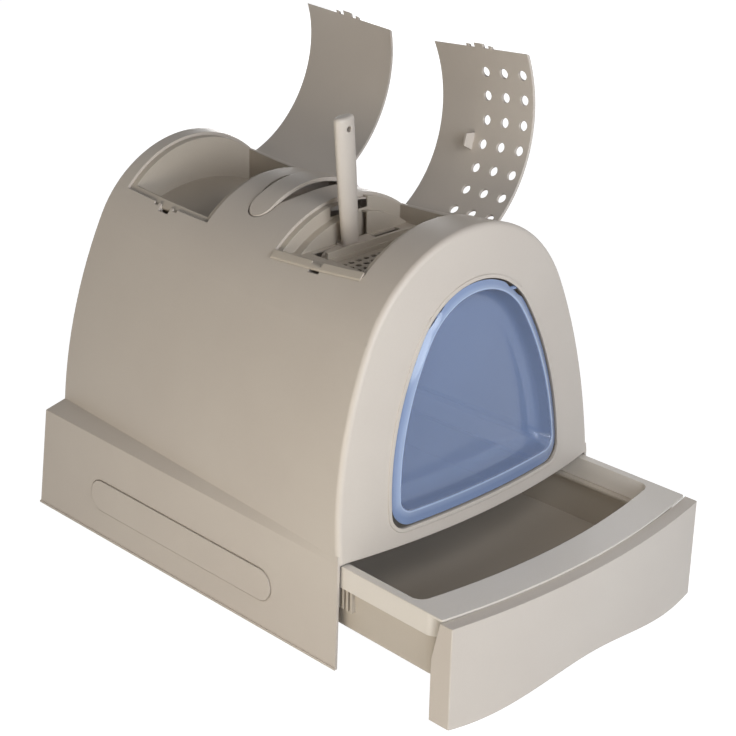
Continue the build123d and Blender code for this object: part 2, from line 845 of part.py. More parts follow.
# Clear flap: a flange in the doorway round a dished panel
door_lean = radians(front_lean)
door_plane = Plane(
    origin=(0, front_y - front_bow, skirt_height), x_dir=(-1, 0, 0),
    z_dir=(0, cos(door_lean), -sin(door_lean)),
)
pin_end = socket_end - door_socket_wall - door_gap / 2


def dish_prism(inset):
    """Tapered plug for the dish, set in from the doorway."""
    with BuildPart() as volume:
        with BuildSketch(door_plane) as profile:
            with BuildLine():
                basket_arch(door_half - inset, door_crown_radius - inset, door_top - inset - skirt_height,
                            door_sill + inset - skirt_height, door_spring - skirt_height)
            make_face()
            fillet(profile.vertices().group_by(Axis.Y)[0], door_corner_radius - inset)
        extrude(amount=dish_depth + 2 * front_bow, taper=dish_taper)
    return volume.part


with BuildPart() as pin_relief:
    add(block(-door_half, door_half, door_front, door_back, pin_height - door_relief,
              pin_height + door_relief))
    add(door_prism(-door_relief_gap, door_front - overrun, door_back + overrun, 0), mode=Mode.SUBTRACT)

with BuildPart() as flap_blank:
    add(door_prism(-door_gap, door_front, door_back + dish_depth, 0))
    add(front_block(door_recess, skirt_height - overrun, high), mode=Mode.INTERSECT)
    add(front_block(door_recess + door_thickness, skirt_height - 2 * overrun, high + overrun),
        mode=Mode.SUBTRACT)
    add(pin_relief.part, mode=Mode.SUBTRACT)

with BuildPart() as dish_blank:
    add(dish_prism(door_gap + door_flange - door_thickness))
    add(front_block(door_recess, skirt_height - overrun, high), mode=Mode.INTERSECT)
    add(front_block(dish_depth + door_thickness, skirt_height - 2 * overrun, high + overrun),
        mode=Mode.SUBTRACT)

with BuildPart() as dish_room:
    add(dish_prism(door_gap + door_flange))
    add(front_block(dish_depth, skirt_height - 2 * overrun, high + overrun), mode=Mode.SUBTRACT)

with BuildPart() as entry_door:
    add(flap_blank.part)
    add(dish_blank.part)
    add(dish_room.part, mode=Mode.SUBTRACT)
    for side in (-1, 1):
        ear_plane = Plane(origin=(side * ear_outside, pin_y, pin_height), x_dir=(0, 1, 0), z_dir=(side, 0, 0))
        with BuildSketch(ear_plane):
            Circle(door_ear_radius)
            ear_depth = door_pin_setback + wall - door_recess
            Rectangle(ear_depth, 2 * door_ear_radius, align=(Align.MAX, Align.CENTER))
        extrude(amount=-door_ear_thickness)
        with BuildSketch(ear_plane):
            Circle(door_pin_radius)
        extrude(amount=pin_end - ear_outside)

# Base pan: a flat foot with an upstand inside the skirt and two hollow runners
runner_height = tray_bottom - runner_clearance
runner_front = front_y + base_setback
runner_length = skirt_back_y - wall - base_upstand - runner_front


def runner_line(side, inset):
    """Outline of one runner, set in by inset at the sides and top."""
    middle = side * runner_offset
    Polyline(
        (middle - runner_foot / 2 + inset, 0), (middle + runner_foot / 2 - inset, 0),
        (middle + runner_top / 2 - inset, runner_height - inset),
        (middle - runner_top / 2 + inset, runner_height - inset), close=True,
    )


with BuildPart() as base_pan:
    add(skirt(wall + base_gap, 0, base_upstand, -base_setback))
    add(skirt(wall + base_gap + base_upstand_wall, base_thickness, base_upstand + overrun, 0),
        mode=Mode.SUBTRACT)
    for side in (-1, 1):
        with BuildSketch(Plane.XZ.offset(-runner_front)):
            with BuildLine():
                runner_line(side, 0)
            make_face()
        extrude(amount=-runner_length)
        with BuildSketch(Plane.XZ.offset(-(runner_front + base_upstand_wall))):
            with BuildLine():
                runner_line(side, base_upstand_wall)
            make_face()
        extrude(amount=-(runner_length - 2 * base_upstand_wall), mode=Mode.SUBTRACT)

# Drawer, drawn where it stands when pulled out
drawer_front_y = front_y - drawer_gap - drawer_out
drawer_back_y = skirt_back_y - wall - tray_back_gap - drawer_out
tray_top = rim_top - rim_wall
tray_front_y = drawer_front_y + rim_wall + tray_clearance


def drawer_block(half_front, half_back, y_front, y_back, corner, z_start, z_end):
    """Bowed drawer outline with rounded corners, between two heights."""
    with BuildPart() as volume:
        with BuildSketch(Plane.XY.offset(z_start)) as profile:
            with BuildLine():
                bowed_plan(half_front, half_back, y_front, y_back, panel_bow)
            make_face()
            fillet(profile.vertices(), corner)
        extrude(amount=z_end - z_start)
    return volume.part


def tray_block(inset, z_start, z_end):
    """Tray body that narrows downwards, set in by inset."""
    with BuildPart() as volume:
        for level in (z_start, z_end):
            draft = tray_draft * (tray_top - level) / (tray_top - tray_bottom)
            side = rim_wall + tray_clearance + inset + draft
            with BuildSketch(Plane.XY.offset(level)) as profile:
                with BuildLine():
                    bowed_plan(rim_half_front - side, rim_half_back - side, tray_front_y + inset,
                               drawer_back_y - inset - draft, panel_bow)
                make_face()
                fillet(profile.vertices(), tray_corner - inset)
        loft()
    return volume.part


# A ledge round the inside of the tray, on which the rim's inner skirt stands
ledge_top = tray_top - rim_skirt - tray_clearance
with BuildPart() as ledge_ring:
    add(tray_block(tray_shell / 2, ledge_top - tray_ledge_thickness, ledge_top))
    add(tray_block(tray_shell + tray_ledge, ledge_top - tray_ledge_thickness - overrun, ledge_top + overrun),
        mode=Mode.SUBTRACT)

with BuildPart() as drawer_tray:
    add(tray_block(0, tray_bottom, tray_top))
    fillet(drawer_tray.faces().sort_by(Axis.Z)[0].edges(), tray_foot_radius)
    add(tray_block(tray_shell, tray_bottom + tray_shell, tray_top + overrun), mode=Mode.SUBTRACT)
    add(ledge_ring.part)
    for side in (-1, 1):
        for rib in range(clip_rib_count):
            rib_y = drawer_front_y + clip_rib_setback + rib * clip_rib_pitch
            with BuildSketch(Plane.XY.offset(rim_top - rim_band - clip_rib_height)):
                with Locations((side * (rim_half_front - tray_draft), rib_y)):
                    Rectangle(tray_draft, clip_rib_width)
            extrude(amount=clip_rib_height)

with BuildPart() as drawer_rim:
    add(drawer_block(rim_half_front, rim_half_back, drawer_front_y, drawer_back_y + rim_wall + tray_clearance,
                     rim_corner, rim_top - rim_band, rim_top - rim_wall / 2))
    add(drawer_block(rim_half_front - rim_wall, rim_half_back - rim_wall, drawer_front_y + rim_wall,
                     drawer_back_y + tray_clearance, rim_corner - rim_wall, rim_top - rim_band - overrun,
                     tray_top), mode=Mode.SUBTRACT)
    add(drawer_block(rim_half_front, rim_half_back, drawer_front_y - rim_overhang,
                     drawer_back_y + rim_wall + tray_clearance, rim_wall, tray_top, rim_top))
    add(drawer_block(rim_half_front - rim_side + rim_wall, rim_half_back - rim_side + rim_wall,
                     drawer_front_y - rim_overhang + rim_front - rim_wall,
                     drawer_back_y - rim_side + rim_wall, rim_corner + rim_wall, tray_top - rim_skirt,
                     tray_top))
    add(drawer_block(rim_half_front - rim_side, rim_half_back - rim_side,
                     drawer_front_y - rim_overhang + rim_front, drawer_back_y - rim_side, rim_corner,
                     tray_top - rim_skirt - overrun, rim_top + overrun), mode=Mode.SUBTRACT)

# Drawer front: a bowed shell, open behind, with a waved lower edge and a slanted back to its ends
panel_face_y = drawer_front_y - panel_thickness
slant = atan2(panel_notch_top, panel_notch_height)
slant_half = panel_half + overrun
slant_bow = panel_bow * (slant_half / panel_half) ** 2
with BuildPart() as panel_slant:
    with BuildSketch(Plane.XY.offset(panel_height - panel_notch_height)):
        with BuildLine():
            bowed_plan(slant_half, slant_half, drawer_front_y - panel_bow + slant_bow, front_y, slant_bow)
        make_face()
    extrude(amount=panel_notch_height + overrun, dir=(0, -sin(slant), cos(slant)))

with BuildPart() as panel_wave:
    with BuildSketch(Plane.XZ.offset(-front_y)):
        with BuildLine():
            wave = Spline(
                (-panel_half - overrun, panel_end_rise), (-pull_half, panel_foot), (0, pull_rise),
                (pull_half, panel_foot), (panel_half + overrun, panel_end_rise),
            )
            Polyline(wave @ 1, (panel_half + overrun, -overrun), (-panel_half - overrun, -overrun), wave @ 0)
        make_face()
    extrude(amount=hood_length)

with BuildPart() as panel_ribs:
    with BuildSketch(Plane.XY.offset(pull_rise)):
        with BuildLine():
            bowed_plan(panel_half, panel_half, panel_face_y + panel_wall / 2,
                       drawer_front_y + panel_thickness, panel_bow)
        make_face()
        with GridLocations(2 * panel_rib_offset, 0, 2, 1):
            Rectangle(panel_wall, hood_length * 2, mode=Mode.INTERSECT)
    extrude(amount=panel_height - pull_rise - panel_wall / 2)
    add(tray_block(0, tray_bottom, tray_top), mode=Mode.SUBTRACT)
    add(block(-panel_half, panel_half, tray_front_y, front_y, 0, panel_height), mode=Mode.SUBTRACT)

with BuildPart() as drawer_front:
    with BuildSketch():
        with BuildLine():
            bowed_plan(panel_half, panel_half, panel_face_y, drawer_front_y, panel_bow)
        make_face()
    extrude(amount=panel_height)
    fillet(drawer_front.edges().filter_by(Axis.Z).group_by(Axis.Y)[0], panel_wall / 2)
    with BuildSketch():
        with BuildLine():
            bowed_plan(panel_half - panel_wall, panel_half - panel_wall, panel_face_y + panel_wall,
                       drawer_front_y + overrun, panel_bow)
        make_face()
    extrude(amount=panel_height - panel_wall, mode=Mode.SUBTRACT)
    add(panel_ribs.part)
    add(panel_slant.part, mode=Mode.SUBTRACT)
    add(panel_wave.part, mode=Mode.SUBTRACT)

os.makedirs("parts", exist_ok=True)
pieces = {
    "hood_shell": hood_shell,
    "base_pan": base_pan,
    "entry_door": entry_door,
    "rear_lid": rear_lid,
    "front_lid": front_lid,
    "storage_tray": storage_tray,
    "scoop_tray": scoop_tray,
    "filter_grille": filter_grille,
    "filter_pad": filter_pad,
    "scoop": scoop,
    "carry_handle": carry_handle,
    "drawer_tray": drawer_tray,
    "drawer_rim": drawer_rim,
    "drawer_front": drawer_front,
}
for name, piece in pieces.items():
    piece.part.label = name
    export_step(piece.part, "parts/" + name + ".step")
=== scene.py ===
# %% [markdown]
# # A covered litter box in moulded plastic
# The imported solids are the frame of this lesson: each one already has its place in metres, with
# the floor at zero, the doorway towards minus Y and X across. Here they get their finishes, a
# camera and a plain studio, so we load them first.

# %% load the frame
import math

import bpy
from mathutils import Matrix, Vector


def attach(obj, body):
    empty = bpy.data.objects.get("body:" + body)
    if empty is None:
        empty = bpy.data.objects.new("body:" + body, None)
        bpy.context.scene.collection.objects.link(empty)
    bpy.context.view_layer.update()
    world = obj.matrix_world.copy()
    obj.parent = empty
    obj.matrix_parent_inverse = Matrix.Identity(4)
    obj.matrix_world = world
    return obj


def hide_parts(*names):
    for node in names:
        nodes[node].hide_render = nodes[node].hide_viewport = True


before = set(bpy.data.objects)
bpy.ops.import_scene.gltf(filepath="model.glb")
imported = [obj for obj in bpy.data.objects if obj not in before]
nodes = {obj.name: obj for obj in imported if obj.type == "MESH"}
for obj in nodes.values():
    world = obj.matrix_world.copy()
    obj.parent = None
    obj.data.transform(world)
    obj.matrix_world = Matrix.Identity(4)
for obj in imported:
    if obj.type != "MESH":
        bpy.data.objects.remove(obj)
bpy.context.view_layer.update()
bpy.ops.object.select_all(action="DESELECT")
print("pieces from the frame:", ", ".join(sorted(nodes)))

# %% [markdown]
# ## The camera
# The photograph was taken from the front left, a little above the crown, with a long lens. A
# camera can be aimed by eye, but a fit of some thirty corners of the hood and drawer gave these
# angles, so the camera is built from them: where it looks, how far away it stands, and a slight
# roll.

# %% camera
camera_azimuth = math.radians(-45.27)
camera_height_angle = math.radians(23.29)
camera_roll = math.radians(1.18)
camera_distance = 2.21513
camera_target = Vector((0.09877, 0.0, 0.17171))
camera_lens, camera_sensor, camera_reach = 90.96, 36.0, 20.0

back = Vector((
    math.sin(camera_azimuth) * math.cos(camera_height_angle),
    -math.cos(camera_azimuth) * math.cos(camera_height_angle),
    math.sin(camera_height_angle),
))
level_right = (-back).cross(Vector((0, 0, 1))).normalized()
level_up = level_right.cross(-back)
right = math.cos(camera_roll) * level_right + math.sin(camera_roll) * level_up
up = math.cos(camera_roll) * level_up - math.sin(camera_roll) * level_right
turn = Matrix((right, up, back)).transposed()
bpy.ops.object.camera_add(
    location=camera_target + back * camera_distance, rotation=turn.to_euler()
)
camera = bpy.context.object
camera.name = "photo_camera"
camera.data.lens = camera_lens
camera.data.sensor_width = camera_sensor
camera.data.clip_end = camera_reach
bpy.context.scene.camera = camera
print("camera at", [round(value, 3) for value in camera.location])

# %% [markdown]
# ## The lamps
# The front of the box is its brightest side, the left side is a little darker and the crown is
# darker still. One strong lamp overhead would turn that round, so six soft lamps share the work: a
# broad one far before the front, a weaker one nearer, a small one over the drawer, a low warm one
# on the left, a faint one overhead, and one behind that keeps the far sides from going black.

# %% lamps
cool_white = (0.92, 1.0, 1.08)
warm_white = (1.1, 1.02, 0.86)
drawer_white = (1.04, 1.0, 0.95)
plain_white = (1, 1, 1)


def soft_lamp(name, place, aim, width, height, power, tint):
    """A rectangular area lamp that looks at a point."""
    direction = Vector(aim) - Vector(place)
    bpy.ops.object.light_add(
        type="AREA", location=place, rotation=direction.to_track_quat("-Z", "Y").to_euler()
    )
    lamp = bpy.context.object
    lamp.name = name
    lamp.data.shape = "RECTANGLE"
    lamp.data.size = width
    lamp.data.size_y = height
    lamp.data.energy = power
    lamp.data.color = tint


soft_lamp("front_lamp", (-0.5, -2.6, 0.9), (0, 0, 0.2), 1.6, 1.2, 33, cool_white)
soft_lamp("near_lamp", (-0.35, -1.45, 1.15), (0, -0.2, 0.2), 1.0, 0.8, 2.8, cool_white)
soft_lamp("drawer_lamp", (-0.1, -1.0, 1.0), (0.05, -0.35, 0.1), 0.5, 0.4, 2.8, drawer_white)
soft_lamp("left_lamp", (-1.2, -0.4, 0.27), (0, 0, 0.15), 0.9, 0.4, 6.0, warm_white)
soft_lamp("top_lamp", (0.3, -0.2, 2.6), (0, 0, 0.2), 1.6, 1.6, 1.5, warm_white)
soft_lamp("back_lamp", (1.9, 2.0, 0.5), (0, 0, 0.2), 1.4, 0.8, 24, plain_white)

# %% [markdown]
# ## Shader sums
# Finishes mix noises, masks and colours. A small class that wraps one shader socket lets us write
# those mixes as sums and products in Python, and one method adds any other node.

# %% shader sockets as numbers
class Wire:
    """One shader socket: sums and products of wires add Math nodes to the same tree."""

    def __init__(self, tree, socket):
        self.tree = tree
        self.socket = socket

    def node(self, kind, settings=None, inputs=None, out=0):
        made = self.tree.nodes.new("ShaderNode" + kind)
        for name, value in (settings or {}).items():
            if name == "stops":
                for stop, (place, colour) in zip(made.color_ramp.elements, value):
                    stop.position = place
                    stop.color = colour
            else:
                setattr(made, name, value)
        for key, value in (inputs or {}).items():
            if isinstance(value, Wire):
                self.tree.links.new(value.socket, made.inputs[key])
            else:
                made.inputs[key].default_value = value
        return Wire(self.tree, made.outputs[out])

    def math(self, operation, first, second):
        return self.node("Math", {"operation": operation}, {0: first, 1: second})

    def __add__(self, other):
        return self.math("ADD", self, other)

    def __radd__(self, other):
        return self.math("ADD", other, self)

    def __sub__(self, other):
        return self.math("SUBTRACT", self, other)

    def __rsub__(self, other):
        return self.math("SUBTRACT", other, self)

    def __mul__(self, other):
        return self.math("MULTIPLY", self, other)

    def __rmul__(self, other):
        return self.math("MULTIPLY", other, self)


def linear(red, green, blue):
    """A colour as a screen shows it, from 0 to 255, as the linear colour that a shader wants."""
    shares = [value / 255 for value in (red, green, blue)]
    return [s / 12.92 if s <= 0.04045 else ((s + 0.055) / 1.055) ** 2.4 for s in shares] + [1.0]


def new_finish(name):
    """An empty material with its shader, and a wire with object coordinates."""
    finish = bpy.data.materials.new(name)
    finish.use_nodes = True
    tree = finish.node_tree
    shader = next(node for node in tree.nodes if node.type == "BSDF_PRINCIPLED")
    place = tree.nodes.new("ShaderNodeTexCoord")
    return finish, shader, Wire(tree, place.outputs["Object"])


def plug(wire, shader, socket):
    wire.tree.links.new(wire.socket, shader.inputs[socket])


print("shader sockets can be added and multiplied")

# %% [markdown]
# ## Satin moulded plastic
# The hood, lids, trays and drawer are one kind of plastic: a warm grey with a fine etched grain
# from the mould, faint flow clouds, and a soft sheen. A single colour would look like paper, so
# the colour drifts between two close shades, the sheen drifts with it, and a very fine bump breaks
# up the highlights. A Bevel node rounds the look of the sharp edges by about a millimetre.

# %% moulded plastic
edge_radius = 0.0012
cloud_scale, fleck_scale, etch_scale = 7.0, 420.0, 900.0
cloud_share, fleck_share = 0.8, 0.2
cloud_sheen, fleck_sheen, noise_middle = 0.12, 0.1, 0.5
dark_stop, light_stop = 0.3, 0.7
etch_depth, etch_strength = 0.00012, 0.35
plastic_ior = 1.48


def moulded_plastic(name, light_shade, dark_shade, sheen, soft_radius=edge_radius):
    """Plastic with drifting shade and sheen, an etched grain and soft edges of a given radius."""
    finish, shader, place = new_finish(name)
    clouds = place.node(
        "TexNoise", inputs={"Vector": place, "Scale": cloud_scale, "Detail": 3.0}
    )
    flecks = place.node(
        "TexNoise", inputs={"Vector": place, "Scale": fleck_scale, "Detail": 2.0}
    )
    etch = place.node("TexNoise", inputs={"Vector": place, "Scale": etch_scale, "Detail": 2.0})
    shades = ((dark_stop, dark_shade), (light_stop, light_shade))
    mixed = clouds * cloud_share + flecks * fleck_share
    plug(place.node("ValToRGB", {"stops": shades}, {"Fac": mixed}), shader, "Base Color")
    drift = (clouds - noise_middle) * cloud_sheen + (flecks - noise_middle) * fleck_sheen
    plug(sheen + drift, shader, "Roughness")
    soft_edge = place.node("Bevel", {"samples": 6}, {"Radius": soft_radius})
    bump = place.node("Bump", inputs={
        "Height": etch, "Strength": etch_strength, "Distance": etch_depth, "Normal": soft_edge,
    })
    plug(bump, shader, "Normal")
    shader.inputs["IOR"].default_value = plastic_ior
    return finish


body_shades = (linear(196, 187, 178), linear(190, 180, 171))
# Painted shade: the inner pieces take the body's plastic a shade darker, for the shade inside the
# box.
shaded_inset_shades = (linear(188, 178, 166), linear(180, 170, 158))
# Painted light: the drawer's rim takes the body's plastic a shade lighter, for the light on its
# top.
lit_rim_shades = (linear(217, 210, 203), linear(211, 204, 196))
body_plastic = moulded_plastic("body_plastic", *body_shades, 0.46)
plug_plastic = moulded_plastic("plug_plastic", *body_shades, 0.46, soft_radius=0.0)
inset_plastic = moulded_plastic("inset_plastic", *shaded_inset_shades, 0.5)
rim_plastic = moulded_plastic("rim_plastic", *lit_rim_shades, 0.42)
print("plastic finishes:", body_plastic.name, inset_plastic.name, rim_plastic.name)

# %% [markdown]
# ## The clear flap
# The flap is one thin sheet of smoky blue plastic, drawn into a dish with round bends, and it
# hangs on two stub pins. A boolean would leave hard bends, so the sheet is a grid that we wrap
# round the doorway: each row of the grid is one line round the flap, from its edge over the bends
# to the middle of the dish. A bend that is truly round catches the light as a bright line, as on
# the real flap. First comes the doorway's outline, in which two arcs make each side: a long one
# and the crown.

# %% outline of the flap
door_half, door_sill, door_spring = 0.131, 0.140, 0.160
crown_radius, crown_middle = 0.095, 0.284
corner_radius, least_corner, sill_edge = 0.026, 0.006, 0.006
face_middle, face_foot, face_lean = -0.279, 0.1225, math.radians(5.7)
face_half, face_bow = 0.2, 0.022
face_radius = (face_half**2 + face_bow**2) / (2 * face_bow)
pin_height, pin_y = 0.355, -0.25039
flap_gap, bend_start = 0.002, 0.0094
sill_steps, corner_steps, side_steps, crown_steps = 12, 10, 30, 24
rise = crown_middle - door_spring
side_radius = (door_half**2 + rise**2 - crown_radius**2) / (2 * (door_half - crown_radius))
side_turn = math.atan2(rise, side_radius - door_half)


def arc(middle, radius, first, last, count):
    """Points along an arc in the upright plane, without its last point."""
    angles = [first + (last - first) * step / count for step in range(count)]
    return [(middle[0] + radius * math.cos(a), middle[1] + radius * math.sin(a)) for a in angles]


def doorway_line(inset):
    """The doorway's outline, set in by a distance, from the middle of the sill and round."""
    corner = max(corner_radius - inset, least_corner)
    edge_part = min(1.0, max(0.0, inset - flap_gap) / (bend_start - flap_gap))
    half, sill = door_half - inset, door_sill + inset + sill_edge * edge_part
    radius = side_radius - inset
    start = math.asin((sill + corner - door_spring) / radius)
    one_side = [((half - corner) * step / sill_steps, sill) for step in range(sill_steps)]
    one_side += arc((half - corner, sill + corner), corner, -math.pi / 2, 0, corner_steps)
    one_side += arc((door_half - side_radius, door_spring), radius, start, side_turn, side_steps)
    one_side += arc((0, crown_middle), crown_radius - inset, side_turn, math.pi / 2, crown_steps)
    top = (0, crown_middle + crown_radius - inset)
    other_side = [(-x, z) for x, z in reversed(one_side[1:])]
    return one_side + [top] + other_side


def face_y(x, z):
    """The hood's bowed, leaning front face."""
    lean = math.tan(face_lean) * (z - face_foot)
    return face_middle + lean + face_radius - math.sqrt(face_radius**2 - x**2)


line_points = len(doorway_line(0))
print("flap outline:", line_points, "points, side radius", round(side_radius, 4))

# %% [markdown]
# ## The flap's profile
# The profile is a list of steps, each a distance in from the doorway and a depth behind the face:
# an edge that rises to a ridge, a round bend, a slanted wall, a wider bend, and the floor of the
# dish. Near the pins the edge draws back by two millimetres, so that it clears the doorway when
# the flap swings out.

# %% profile of the flap
sheet_thickness = 0.0025
ridge_inset, ridge_depth, edge_slope = 0.0105, -0.0015, math.radians(20)
dish_floor, wall_slope = 0.020, math.radians(18)
bend_radius, floor_radius = 0.0024, 0.016
bend_steps, floor_steps = 8, 12
bend_turn = math.pi / 2 - wall_slope
floor_shares = (0.96, 0.85, 0.7, 0.5, 0.3, 0.12, 0.0)
dish_middle = (0.0, 0.25)

bend = []
for step in range(bend_steps + 1):
    angle = -edge_slope + (bend_turn + edge_slope) * step / bend_steps
    bend.append((
        ridge_inset + bend_radius * math.sin(angle),
        ridge_depth + bend_radius * (1 - math.cos(angle)),
    ))
edge_depth = bend[0][1] + (bend[0][0] - flap_gap) * math.tan(edge_slope)
edge_middle = ((flap_gap + bend[0][0]) / 2, (edge_depth + bend[0][1]) / 2)
floor_bend = []
for step in range(floor_steps + 1):
    angle = bend_turn * (1 - step / floor_steps)
    floor_bend.append((
        -floor_radius * math.sin(angle), dish_floor - floor_radius * (1 - math.cos(angle))
    ))
wall_run = (floor_bend[0][1] - bend[-1][1]) * math.tan(wall_slope)
floor_shift = bend[-1][0] + wall_run - floor_bend[0][0]
profile = [(flap_gap, edge_depth), edge_middle] + bend
profile += [(floor_shift + inset, depth) for inset, depth in floor_bend]
rows = len(profile) + len(floor_shares)
print("flap profile:", rows, "rows, floor", round(profile[-1][1], 4), "behind the face")

# %% [markdown]
# ## The flap's rows
# Each step of the profile becomes one row of points. The last rows shrink towards the middle of
# the dish, where they end in a single point.

# %% rows of the flap
relief_depth, relief_half, relief_fade, relief_drop = 0.0022, 0.005, 0.007, 0.001
small_step = 0.001
# How far either side of the bend's top the painted highlight reaches, as a share of the bend
# radius.
painted_highlight_reach = 0.6


def pin_relief(z):
    """How far the edge draws back at this height."""
    away = max(0.0, abs(z - pin_height + relief_drop) - relief_half) / relief_fade
    return relief_depth * max(0.0, 1 - away**2) ** 2 if away < 1 else 0.0


def flap_row(row):
    """One row of the grid as points in metres."""
    if row < len(profile):
        inset, depth = profile[row]
        share = max(0.0, 1 - (inset - flap_gap) / (bend_start - flap_gap))
        points = []
        for (x, z), (near_x, near_z) in zip(doorway_line(inset), doorway_line(inset + small_step)):
            draw = share * pin_relief(z) / small_step
            points.append((x + draw * (near_x - x), z + draw * (near_z - z)))
    else:
        share = floor_shares[row - len(profile)]
        inset, depth = profile[-1]
        points = [
            tuple(centre + share * (value - centre) for centre, value in zip(dish_middle, point))
            for point in doorway_line(inset)
        ]
    return [Vector((x, face_y(x, z) + depth, z)) for x, z in points + points[:1]]


def painted_highlight_share(row):
    """One on the top of the bend, where the pale painted highlight goes, and zero on the dish."""
    inset = profile[row][0] if row < len(profile) else 1.0
    away = abs(inset - ridge_inset) / (painted_highlight_reach * bend_radius)
    return max(0.0, 1 - away**2)


def edge_share(row):
    """One on the flat edge outside the bend."""
    return 1.0 if row < len(profile) and profile[row][0] <= bend_start else 0.0


print("flap rows: edge", [round(value, 3) for value in flap_row(0)[0]])

# %% [markdown]
# ## The flap's sheet
# A grid primitive has as many rows and columns as we need, so its points are set down along the
# rows. The first and last columns meet at the sill and are merged, as are the points in the middle
# of the dish, and Solidify then gives the sheet its thickness behind the visible face. A colour
# attribute marks the edge and the top of the bend, where the finish paints a pale highlight.

# %% wrap the sheet
merge_distance = 0.00001
smooth_angle = math.radians(35)

bpy.ops.object.select_all(action="DESELECT")
bpy.ops.mesh.primitive_grid_add(x_subdivisions=line_points, y_subdivisions=rows - 1, size=1.0)
flap = bpy.context.object
flap.name = "flap"
highlight_and_edge_marks = flap.data.color_attributes.new("highlight_and_edge_marks", "FLOAT_COLOR", "POINT")
for row in range(rows):
    for step, point in enumerate(flap_row(row)):
        spot = row * (line_points + 1) + step
        flap.data.vertices[spot].co = point
        highlight_and_edge_marks.data[spot].color = (painted_highlight_share(row), edge_share(row), 0.0, 1.0)
bpy.ops.object.mode_set(mode="EDIT")
bpy.ops.mesh.select_all(action="SELECT")
bpy.ops.mesh.remove_doubles(threshold=merge_distance)
bpy.ops.mesh.normals_make_consistent(inside=False)
bpy.ops.object.mode_set(mode="OBJECT")
faces_inwards = sum(face.normal.y * face.area for face in flap.data.polygons) > 0
if faces_inwards:
    bpy.ops.object.mode_set(mode="EDIT")
    bpy.ops.mesh.flip_normals()
    bpy.ops.object.mode_set(mode="OBJECT")
sheet = flap.modifiers.new("sheet", "SOLIDIFY")
sheet.thickness = sheet_thickness
sheet.offset = -1.0
bpy.ops.object.modifier_apply(modifier="sheet")
print("flap sheet:", len(flap.data.polygons), "faces")

# %% [markdown]
# ## The flap's pins
# The pins are two short rods behind the edge of the sheet, moulded in one piece with it. A
# cylinder with a small bevel gives the rounded end, and both are joined to the sheet.

# %% pins of the flap
pin_radius, pin_start, pin_end, pin_round, pin_round_steps = 0.0025, 0.050, 0.0685, 0.0006, 3
rod_sides = 40


def rod_on_pin_line(side, start, end, radius):
    """A rod along X on the flap's pin line, between two distances from the middle."""
    bpy.ops.object.select_all(action="DESELECT")
    bpy.ops.mesh.primitive_cylinder_add(
        vertices=rod_sides, radius=radius, depth=end - start, rotation=(0, math.pi / 2, 0),
        location=(side * (start + end) / 2, pin_y, pin_height),
    )
    bpy.ops.object.transform_apply(location=True, rotation=True, scale=True)
    return bpy.context.object


for side in (-1, 1):
    pin = rod_on_pin_line(side, pin_start, pin_end, pin_radius)
    round_end = pin.modifiers.new("round_end", "BEVEL")
    round_end.width = pin_round
    round_end.segments = pin_round_steps
    bpy.ops.object.modifier_apply(modifier="round_end")
    pin_lines = pin.data.color_attributes.new("highlight_and_edge_marks", "FLOAT_COLOR", "POINT")
    for mark in pin_lines.data:
        mark.color = (0.0, 1.0, 0.0, 1.0)
    flap.select_set(True)
    bpy.context.view_layer.objects.active = flap
    bpy.ops.object.join()
bpy.ops.object.shade_smooth_by_angle(angle=smooth_angle)
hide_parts("entry_door")
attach(flap, "door")
print("flap with pins:", len(flap.data.vertices), "points")

# %% [markdown]
# ## The ends of the pin sockets
# The pins turn in blind sockets, so the hood's face is closed over them. A short round plug, a
# little wider than the socket, fills the outer end of each one and is cut off level with the face.
# Its plastic has no soft edge, so that no line shows where the plug meets the face.

# %% ends of the pin sockets
plug_radius, plug_start, plug_end, plug_lift = 0.0036, 0.0697, 0.0785, 0.00003
socket_ends = []
for side, side_name in ((-1, "left"), (1, "right")):
    socket_end = rod_on_pin_line(side, plug_start, plug_end, plug_radius)
    socket_end.name = "socket_end_" + side_name
    middle_x = side * (plug_start + plug_end) / 2
    on_face = Vector((middle_x, face_y(middle_x, pin_height), pin_height))
    out_of_face = Vector((middle_x / face_radius, -1.0, math.tan(face_lean))).normalized()
    bpy.ops.object.mode_set(mode="EDIT")
    bpy.ops.mesh.select_all(action="SELECT")
    bpy.ops.mesh.bisect(
        plane_co=on_face + plug_lift * out_of_face, plane_no=out_of_face,
        use_fill=True, clear_outer=True,
    )
    bpy.ops.object.mode_set(mode="OBJECT")
    bpy.ops.object.shade_smooth_by_angle(angle=smooth_angle)
    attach(socket_end, "housing")
    socket_end.data.materials.append(plug_plastic)
    socket_ends.append(socket_end)
print("socket ends:", [len(piece.data.polygons) for piece in socket_ends])

# %% [markdown]
# ## The flap's finish
# Light passes through the flap, but most of what the eye sees is a smoky blue with a clear gloss
# on top. A glass shader would need a bright room behind it, so the sheet is a tinted gloss that is
# partly see-through, denser on the edge and on the bend, where the eye looks along the sheet, and
# a little paler on the edge. The top of the bend is painted much paler: a painted highlight that
# stands in for the bright line light draws along a round bend.

# %% clear flap
smoke_shades = (linear(130, 150, 190), linear(142, 162, 202))
# The bend's shade is a painted highlight, much paler than the flap's own smoky tint.
edge_shade, painted_bend_highlight = linear(140, 158, 194), linear(182, 198, 228)
edge_tint = 0.8
dish_alpha, edge_alpha, bend_alpha = 0.42, 0.3, 0.3
smoke_scale, gloss_base, gloss_drift = 5.0, 0.08, 0.06
flap_ior, flap_coat, flap_coat_roughness = 1.49, 0.5, 0.05


